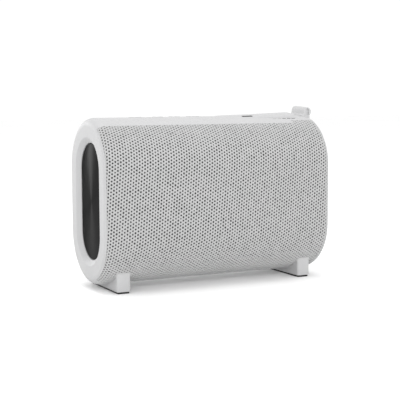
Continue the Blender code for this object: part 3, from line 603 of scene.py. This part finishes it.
def cut_port(shape, middle, half_core, radius):
    """Open the panel round the charging port, and pull the cut edge onto the port's outline."""

    def away(co):
        return Vector((max(abs(co.x) - half_core, 0) * math.copysign(1, co.x), co.y - middle))

    inside = {vert for vert in shape.verts if away(vert.co).length < radius}
    gone = [face for face in shape.faces if all(vert in inside for vert in face.verts)]
    bmesh.ops.delete(shape, geom=gone, context="FACES")
    for vert in inside:
        if vert.is_valid:
            out = away(vert.co)
            push = out.normalized() * radius - out
            vert.co.x += push.x
            vert.co.y += push.y


def step_corner(shape, seam):
    """Take away the corner of the panel where the top strip is wider."""
    faces = [face for face in shape.faces if max(vert.co.y for vert in face.verts) > seam]
    edges = {edge for face in faces for edge in face.edges}
    verts = {vert for face in faces for vert in face.verts}
    bmesh.ops.bisect_plane(
        shape, geom=[*verts, *edges, *faces], plane_co=(NARROW_START, 0, 0), plane_no=(1, 0, 0)
    )
    faces = [face for face in shape.faces if face.calc_center_median().x < NARROW_START]
    edges = {edge for face in faces for edge in face.edges}
    verts = {vert for face in faces for vert in face.verts}
    bmesh.ops.bisect_plane(
        shape, geom=[*verts, *edges, *faces], plane_co=(0, seam, 0), plane_no=(0, 1, 0)
    )
    gone = []
    for face in shape.faces:
        middle = face.calc_center_median()
        if middle.x < NARROW_START and middle.y > seam:
            gone.append(face)
    bmesh.ops.delete(shape, geom=gone, context="FACES")


def cloth(name, side, seed, node, port):
    points, faces, slots = net(seed)
    mesh = bpy.data.meshes.new(name)
    mesh.from_pydata(points.tolist(), [], faces)
    mesh.polygons.foreach_set("material_index", slots)
    shape = bmesh.new()
    shape.from_mesh(mesh)
    half = ROUND / 2
    for normal, place_of in (
        ((1, 0, 0), HALF_WIDTH),
        ((-1, 0, 0), HALF_WIDTH),
        ((0, 1, 0), half),
        ((0, -1, 0), half),
    ):
        bmesh.ops.bisect_plane(
            shape,
            geom=[*shape.verts, *shape.edges, *shape.faces],
            plane_co=Vector(normal) * place_of,
            plane_no=normal,
            clear_outer=True,
        )
    step_corner(shape, half - STEP)
    if port:
        middle = half - UPPER_ARC - STRAIGHT - PORT_DROP
        cut_port(shape, middle, (PORT_LENGTH - PORT_HEIGHT) / 2, PORT_HEIGHT / 2 + GAP)
    rim_edges = [edge for edge in shape.edges if edge.is_boundary]
    hem = bmesh.ops.extrude_edge_only(shape, edges=rim_edges)["geom"]
    for vert in hem:
        if isinstance(vert, bmesh.types.BMVert):
            vert.co.z = HEM_DEEP
    coords = np.array([vert.co for vert in shape.verts])
    u, v, depth = coords.T
    to_ends = np.minimum(HALF_WIDTH - np.abs(u), half + v)
    to_top = np.where(u < NARROW_START, half - STEP, half) - v
    to_step = np.where(v > half - STEP, u - NARROW_START, LENGTH)
    nearest = np.minimum.reduce([to_ends, to_top, to_step]).clip(0, HEM_REACH) / HEM_REACH
    depth = depth + HEM_DIP * (1 - nearest) ** 2
    placed = on_body(u, half - v, depth, side)
    layer = shape.loops.layers.uv.new("flat")
    for face in shape.faces:
        for loop in face.loops:
            loop[layer].uv = (loop.vert.co.x / LENGTH, loop.vert.co.y / LENGTH)
    for vert, co in zip(shape.verts, placed):
        vert.co = co
    bmesh.ops.recalc_face_normals(shape, faces=shape.faces)
    shape.to_mesh(mesh)
    shape.free()
    smooth(mesh, 70)
    obj = piece(name, mesh, (KNIT, SCRIM), nodes=(node,))
    return obj


cloth("front_cloth", -1, 11, "front_fabric", False)
cloth("rear_cloth", 1, 12, "rear_fabric", True)


# Strips and end rings ----------------------------------------------------------------------------


def skin_profile():
    outer = [rim(angle) for angle in spread(0, SKIN_STOP, 10)]
    inner = [rim(angle, SKIN) for angle in spread(SKIN_STOP, 0, 6)]
    right = outer + inner
    fill = [(x, 0.0) for x in np.linspace(-RIM_START, RIM_START, 40)[1:-1]]
    left = [(-x, inset) for x, inset in reversed(right)]
    return right + left + fill


def button_hole(x, length):
    room = 2 * BUTTON_CLEARANCE
    deep = CREST_Z - SKIN - HOLE_BELOW
    high = CREST_Z + HOLE_ABOVE
    sides = (length + room, BUTTON_WIDTH + room, False)
    return upright("hole", x, [(deep, *sides), (high, *sides)], 10)


def top_strip():
    mesh = sweep(
        "top_strip_skin", skin_profile(), stations(-TOP_STRIP_ANGLE, TOP_STRIP_ANGLE, 2), sharp=50
    )
    nodes = ("top_strip",)
    obj = piece("top_strip_skin", mesh, LIGHT_GREY, nodes=nodes)
    cutters = [button_hole(x, length) for _, x, length in BUTTONS]
    profile = [
        (NARROW_START, -RIM_R),
        (LENGTH, -RIM_R),
        (LENGTH, 2 * RIM_R),
        (NARROW_START, 2 * RIM_R),
    ]
    for side in (1, -1):
        path = stations(*sorted((side * TOP_STRIP_NARROW, side * 2 * TOP_STRIP_ANGLE)), 2)
        cutters.append(sweep("step", profile, path))
    carve(obj, cutters)


def base_strip():
    path = stations(180 - BASE_STRIP_ANGLE, 180 + BASE_STRIP_ANGLE, 2)
    mesh = sweep("base_strip_skin", skin_profile(), path, sharp=50)
    piece("base_strip_skin", mesh, LIGHT_GREY, nodes=("base_strip",))


def end_ring(end, side):
    window = RADIUS - WINDOW
    under = [rim(angle, CHASSIS_OUT) for angle in spread(0, SKIN_STOP, 5)]
    face = [rim(angle) for angle in spread(SKIN_STOP, 90, 10)]
    flat_stop = window - FLARE_WIDE - FLAT_STOP
    flat = [(HALF_LENGTH, inset) for inset in spread(RIM_R, flat_stop, 6)[1:]]
    flare = []
    for share in spread(0, 1, 12):
        x = HALF_LENGTH - FLARE_DEEP * share**FLARE_POWER
        flare.append((x, window - FLARE_WIDE * (1 - share)))
    profile = under + face + flat + flare + [(RIM_START, window)]
    path = stations(0, 360, 3)[:-1]
    mesh = sweep(f"{end}_ring_skin", [(side * x, i) for x, i in profile], path, ring=True, sharp=50)
    node = f"{end}_end_ring"
    piece(f"{end}_ring_skin", mesh, LIGHT_GREY, nodes=(node,))


def radiator_face(end, side):
    """The spun plate, with its rounded edge and the hub behind it."""
    edge = WINDOW - PLATE_CLEARANCE
    front = HALF_LENGTH - PLATE_RECESS
    back = front - PLATE_THICK
    levels = [(back - HUB_DEEP, HUB), (back, HUB), (back, edge)]
    for angle in spread(0, 90, 4):
        turn = math.radians(angle)
        levels.append(
            (
                front - PLATE_ROUND * (1 - math.sin(turn)),
                edge - PLATE_ROUND * (1 - math.cos(turn)),
            )
        )
    rows = []
    for x, half_width in levels:
        rows.append([place(side * x, RADIUS - half_width, s) for s in stations(0, 360, 4)[:-1]])
    mesh = loft(f"{end}_radiator_face", rows)
    node = f"{end}_radiator_plate"
    piece(f"{end}_radiator_face", mesh, SPUN, node, (node,))


top_strip()
base_strip()
for end, side in (("left", -1), ("right", 1)):
    end_ring(end, side)
    radiator_face(end, side)


# Buttons, raised plate, microphone window and lights ---------------------------------------------


def button_cap(node, x, length):
    """A soft key with a rounded edge."""
    top = CREST_Z + BUTTON_PROUD
    levels = [(top - BUTTON_DEEP, length, BUTTON_WIDTH, True)]
    for angle in spread(0, 90, 4):
        turn = math.radians(angle)
        less = 2 * BUTTON_ROUND * (1 - math.cos(turn))
        height = top - BUTTON_ROUND * (1 - math.sin(turn))
        levels.append((height, length - less, BUTTON_WIDTH - less, True))
    mesh = upright(f"{node}_cap", x, levels)
    piece(f"{node}_cap", mesh, BUTTON_GREY, node, (node,))


def plate_rise(x):
    xs, heights = zip(*PLATE_LINE)
    return float(np.interp(x, xs, heights))


def plate_height(x, y):
    """Height of the raised plate's surface, eased down at its long edges and its start."""
    side = (PLATE_HALF_WIDTH - abs(y)) / PLATE_EDGE
    end = (x - PLATE_LINE[0][0]) / (2 * PLATE_EDGE)
    ease = min(math.sqrt(max(1 - (1 - min(max(t, 0), 1)) ** 2, 0)) for t in (side, end))
    return CREST_Z - crest_drop(y) - PLATE_SINK + (plate_rise(x) + PLATE_SINK) * ease


def raised_plate():
    """A thin wedge on the strip, highest before its ramp down to the strap loop."""
    start = PLATE_LINE[0][0]
    stop = PLATE_LINE[-1][0]
    eased_in = start + 2 * PLATE_EDGE
    xs = sorted({*spread(start, eased_in, 6), *spread(eased_in, stop, 48)})
    turns = [math.radians(angle) for angle in spread(0, 90, 6)]
    eased = [PLATE_HALF_WIDTH - PLATE_EDGE * (1 - math.cos(turn)) for turn in turns]
    ys = sorted({*eased, *spread(0, PLATE_HALF_WIDTH - PLATE_EDGE, 8)})
    ys = [-y for y in reversed(ys) if y > 0] + ys

    shape = bmesh.new()
    rows = [[shape.verts.new((x, y, plate_height(x, y))) for y in ys] for x in xs]
    for first, second in zip(rows, rows[1:]):
        for i in range(len(ys) - 1):
            shape.faces.new((first[i], second[i], second[i + 1], first[i + 1]))
    mesh = bpy.data.meshes.new("raised_plate")
    shape.to_mesh(mesh)
    shape.free()
    smooth(mesh, 50)
    piece("raised_plate", mesh, LIGHT_GREY, nodes=("top_plate",))


def mic_lens():
    rows = []
    for lift, less in ((-0.001, 0.0), (0.00005, 0.0), (0.0001, 0.0003)):
        outline = rounded_outline(MIC_LENGTH - less, MIC_WIDTH - less, MIC_WIDTH * 0.4)
        places = [(MIC_X + a, MIC_Y + b) for a, b in outline]
        rows.append([(x, y, plate_height(x, y) + lift) for x, y in places])
    mesh = loft("mic_lens", rows)
    piece("mic_lens", mesh, PLASTIC, nodes=("mic_window",))


def lights():
    """Small battery lights in a row along the strip's front shoulder, from pale to dark."""
    turn = Matrix.Rotation(math.radians(LIGHT_ANGLE), 4, "X")
    pitch = LIGHT_LENGTH / LIGHT_COUNT
    for i in range(LIGHT_COUNT):
        outline = rounded_outline(pitch - LIGHT_SPACE, LIGHT_WIDTH * 0.75, LIGHT_WIDTH * 0.3, 5)
        rows = [
            [(a, b, -LIGHT_DEEP) for a, b in outline],
            [(a, b, 0.00006) for a, b in outline],
            [(a * 0.93, b * 0.8, 0.00012) for a, b in outline],
        ]
        mesh = loft(f"battery_light_{i + 1}", rows)
        centre = Vector(place(LIGHT_X + (i - 2) * pitch, 0, (1, LIGHT_ANGLE)))
        mesh.transform(Matrix.Translation(centre) @ turn)
        look = PALE_LENS if i < 2 else LENS if i == 2 else GLOSS
        nodes = ("light_bar",) if i == 0 else ()
        piece(f"battery_light_{i + 1}", mesh, look, nodes=nodes)


for button_name, button_x, button_length in BUTTONS:
    button_cap(button_name, button_x, button_length)
raised_plate()
mic_lens()
lights()


# Strap loop --------------------------------------------------------------------------------------


def loop_outline(inset):
    """The lug's outline in XZ, drawn in by an inset."""
    centre_x = HALF_LENGTH - LOOP_END_INSET - LOOP_RADIUS
    centre_z = CREST_Z + LOOP_RISE
    low = CREST_Z - RIM_R * LOOP_SUNK
    radius = LOOP_RADIUS - inset
    left = centre_x - LOOP_RADIUS
    foot_x = left - LOOP_FOOT + inset
    outline = [(foot_x, low), (foot_x, CREST_Z + GAP - inset)]
    for angle in spread(10, 62, 6):
        turn = math.radians(angle)
        outline.append(
            (
                left - LOOP_FOOT * (1 - math.sin(turn)) + inset,
                CREST_Z + 2 * GAP + LOOP_RISE * LOOP_HOLLOW * (1 - math.cos(turn)) - inset,
            )
        )
    for angle in spread(178, -48, 24):
        turn = math.radians(angle)
        outline.append((centre_x + radius * math.cos(turn), centre_z + radius * math.sin(turn)))
    outline.append((outline[-1][0] - GAP, low))
    return outline


def strap_lug():
    rows = []
    for angle in spread(0, 90, 4):
        turn = math.radians(angle)
        inset = LOOP_ROUND * (1 - math.sin(turn))
        y = -LOOP_HALF_WIDTH + LOOP_ROUND * (1 - math.cos(turn))
        rows.append([(x, y, z) for x, z in loop_outline(inset)])
    rows += [[(x, -y, z) for x, y, z in row] for row in reversed(rows)]
    rows = [[(x, y, z + LOOP_SLOPE * y) for x, y, z in row] for row in rows]
    mesh = loft("strap_lug", rows)
    obj = piece("strap_lug", mesh, LIGHT_GREY, nodes=("strap_loop",))
    centre_x = HALF_LENGTH - LOOP_END_INSET - LOOP_RADIUS
    slot = rounded_outline(SLOT_WIDTH, SLOT_HEIGHT, SLOT_WIDTH * 0.45, 8)
    recesses = []
    for side in (-1, 1):
        rows = []
        for y in (side * (LOOP_HALF_WIDTH - SLOT_DEEP), side * (LOOP_HALF_WIDTH + SLOT_DEEP)):
            middle = CREST_Z + LOOP_RISE + LOOP_SLOPE * y
            rows.append([(centre_x + a, y, middle + b) for a, b in slot])
        recesses.append(loft("recess", rows))
    carve(obj, recesses)


strap_lug()


# Feet --------------------------------------------------------------------------------------------


def foot_outline(grow):
    return rounded_outline(
        FOOT_WIDTH + 2 * grow, 2 * (FOOT_HALF_LENGTH + grow), FOOT_CORNER + grow, 6
    )


def foot(end, side):
    """A rail under the body that meets it in a small fillet."""
    x = side * FOOT_X
    rows = []
    eased = ((-FOOT_EASE, 0.0), (-FOOT_EASE * 0.3, FOOT_EASE * 0.3), (0.0, FOOT_EASE))
    for grow, height in eased:
        rows.append([(x + a, b, FOOT_BOTTOM + height) for a, b in foot_outline(grow)])
    for grow, drop in ((0.0, 2.2), (0.1, 1.2), (0.35, 0.5), (0.8, 0.05), (1.0, -0.3)):
        row = []
        for a, b in foot_outline(grow * FOOT_FILLET):
            row.append((x + a, b, underside(b) - drop * FOOT_FILLET))
        rows.append(row)
    mesh = loft(f"{end}_foot_rail", rows)
    piece(f"{end}_foot_rail", mesh, LIGHT_GREY, nodes=(f"{end}_foot",))
    rows = []
    length = 2 * (FOOT_HALF_LENGTH - PAD_INSET)
    for angle in spread(0, 90, 3):
        turn = math.radians(angle)
        less = PAD_ROUND * (1 - math.sin(turn))
        outline = rounded_outline(PAD_WIDTH - 2 * less, length - 2 * less, PAD_CORNER, 6)
        rows.append([(x + a, b, PAD_ROUND * (1 - math.cos(turn))) for a, b in outline])
    outline = rounded_outline(PAD_WIDTH, length, PAD_CORNER, 6)
    rows.append([(x + a, b, PAD_TOP) for a, b in outline])
    mesh = loft(f"{end}_sole", rows)
    piece(f"{end}_sole", mesh, RUBBER, nodes=(f"{end}_foot_pad",))


foot("left", -1)
foot("right", 1)


# Charging port -----------------------------------------------------------------------------------


def port_rows(levels, corner):
    """Rounded outlines at (length, height, y), each for one row of a block in the back."""
    rows = []
    for length, height, y in levels:
        outline = rounded_outline(length, height, min(length, height) * corner, 8)
        rows.append([(a, y, CENTRE_Z - PORT_DROP + b) for a, b in outline])
    return rows


def port():
    face = RADIUS + PORT_PROUD
    room = 2 * GAP
    ease = PORT_EASE
    mouth = (SOCKET_LENGTH + room, SOCKET_HEIGHT + room)
    levels = [
        (mouth[0], mouth[1], face - PORT_DEEP),
        (mouth[0], mouth[1], face - ease),
        (mouth[0] + 0.6 * ease, mouth[1] + 0.6 * ease, face - 0.3 * ease),
        (mouth[0] + 2 * ease, mouth[1] + 2 * ease, face),
        (PORT_LENGTH - 2 * ease, PORT_HEIGHT - 2 * ease, face),
        (PORT_LENGTH - 0.6 * ease, PORT_HEIGHT - 0.6 * ease, face - 0.3 * ease),
        (PORT_LENGTH, PORT_HEIGHT, face - ease),
        (PORT_LENGTH, PORT_HEIGHT, face - PORT_DEEP),
    ]
    mesh = loft("port_surround", port_rows(levels, PORT_CORNER), caps=False)
    piece("port_surround", mesh, LIGHT_GREY, nodes=("port_bezel",))
    outside = face - SOCKET_RECESS
    wall = 2 * SOCKET_WALL
    inner = (SOCKET_LENGTH - wall, SOCKET_HEIGHT - wall)
    back = outside - SOCKET_DEEP
    levels = [
        (SOCKET_LENGTH, SOCKET_HEIGHT, back),
        (SOCKET_LENGTH, SOCKET_HEIGHT, outside - SOCKET_EASE),
        (SOCKET_LENGTH - 2 * SOCKET_EASE, SOCKET_HEIGHT - 2 * SOCKET_EASE, outside),
        (inner[0] + 2 * SOCKET_EASE, inner[1] + 2 * SOCKET_EASE, outside),
        (inner[0], inner[1], outside - SOCKET_EASE),
        (inner[0], inner[1], back + SOCKET_WALL),
    ]
    mesh = loft("socket_shell", port_rows(levels, PORT_CORNER))
    piece("socket_shell", mesh, STEEL, nodes=("usb_socket",))
    tongue = [
        (TONGUE_LENGTH, TONGUE_HEIGHT, back + SOCKET_WALL),
        (TONGUE_LENGTH, TONGUE_HEIGHT, outside - 0.0014),
        (0.0062, 0.0004, outside - 0.0012),
    ]
    mesh = loft("socket_tongue", port_rows(tongue, 0.2))
    piece("socket_tongue", mesh, PLASTIC)


port()


# Carried-over CAD nodes --------------------------------------------------------------------------

INSIDE = {
    PLASTIC: "front_grille rear_grille front_cabinet rear_cabinet left_radiator_frame "
    "right_radiator_frame left_driver_frame right_driver_frame battery_tray",
    RUBBER: "left_radiator_surround right_radiator_surround left_driver_surround "
    "right_driver_surround",
    BOARD: "control_board main_board usb_board",
    PAPER: "left_driver_cone right_driver_cone",
    STEEL: "left_driver_magnet right_driver_magnet left_front_screw left_rear_screw "
    "right_front_screw right_rear_screw",
    FINS: "heat_sink",
    WRAP: "front_battery_cell rear_battery_cell",
}
for look, names in INSIDE.items():
    for name in names.split():
        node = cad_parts[name]
        node.data.materials.clear()
        node.data.materials.append(look)


# Floor, light and camera -------------------------------------------------------------------------


def floor():
    look = Look("pale_floor", Specular_IOR_Level=0.1)
    look.join("Base Color", look.tint(look.noise(3, 3), grey(0.93), grey(0.95)))
    look.join("Roughness", look.ranged(look.noise(40, 3), 0.8, 0.95))
    look.join("Normal", look.bump(look.noise(400, 2), 0.02, 0.0005))
    mesh = bpy.data.meshes.new("floor")
    half = FLOOR_HALF
    corners = [(-half, -half, 0), (half, -half, 0), (half, half, 0), (-half, half, 0)]
    mesh.from_pydata(corners, [], [(0, 1, 2, 3)])
    mesh.materials.append(look.material)
    obj = bpy.data.objects.new("floor", mesh)
    bpy.context.scene.collection.objects.link(obj)


def softbox(name, location, size, power):
    data = bpy.data.lights.new(name, "AREA")
    data.shape = "RECTANGLE"
    data.size, data.size_y = size
    data.energy = power
    obj = bpy.data.objects.new(name, data)
    obj.location = location
    obj.rotation_mode = "QUATERNION"
    obj.rotation_quaternion = (Vector(LIGHT_TARGET) - Vector(location)).to_track_quat("-Z", "Y")
    bpy.context.scene.collection.objects.link(obj)


def surroundings():
    world = bpy.data.worlds.new("studio")
    world.use_nodes = True
    back = world.node_tree.nodes["Background"]
    back.inputs["Color"].default_value = (1, 1, 1, 1)
    back.inputs["Strength"].default_value = WORLD_STRENGTH
    bpy.context.scene.world = world
    for box in SOFTBOXES:
        softbox(*box)
    bpy.context.scene.view_settings.view_transform = "Standard"


def photo_camera():
    """Square on to the front left, a little above the speaker, with a long lens."""
    azimuth = math.radians(CAMERA_AZIMUTH)
    elevation = math.radians(CAMERA_ELEVATION)
    roll = math.radians(CAMERA_ROLL)
    back = Vector(
        (
            math.sin(azimuth) * math.cos(elevation),
            -math.cos(azimuth) * math.cos(elevation),
            math.sin(elevation),
        )
    )
    right = Vector((math.cos(azimuth), math.sin(azimuth), 0))
    up = back.cross(right)
    tilted = right * math.cos(roll) + up * math.sin(roll)
    risen = up * math.cos(roll) - right * math.sin(roll)
    target = Vector(CAMERA_TARGET)
    data = bpy.data.cameras.new("camera")
    data.lens = CAMERA_LENS
    data.sensor_width = 36
    obj = bpy.data.objects.new("camera", data)
    turn = Matrix((tilted, risen, back)).transposed()
    obj.matrix_world = Matrix.Translation(target + back * CAMERA_DISTANCE) @ turn.to_4x4()
    bpy.context.scene.collection.objects.link(obj)
    bpy.context.scene.camera = obj


floor()
surroundings()
photo_camera()
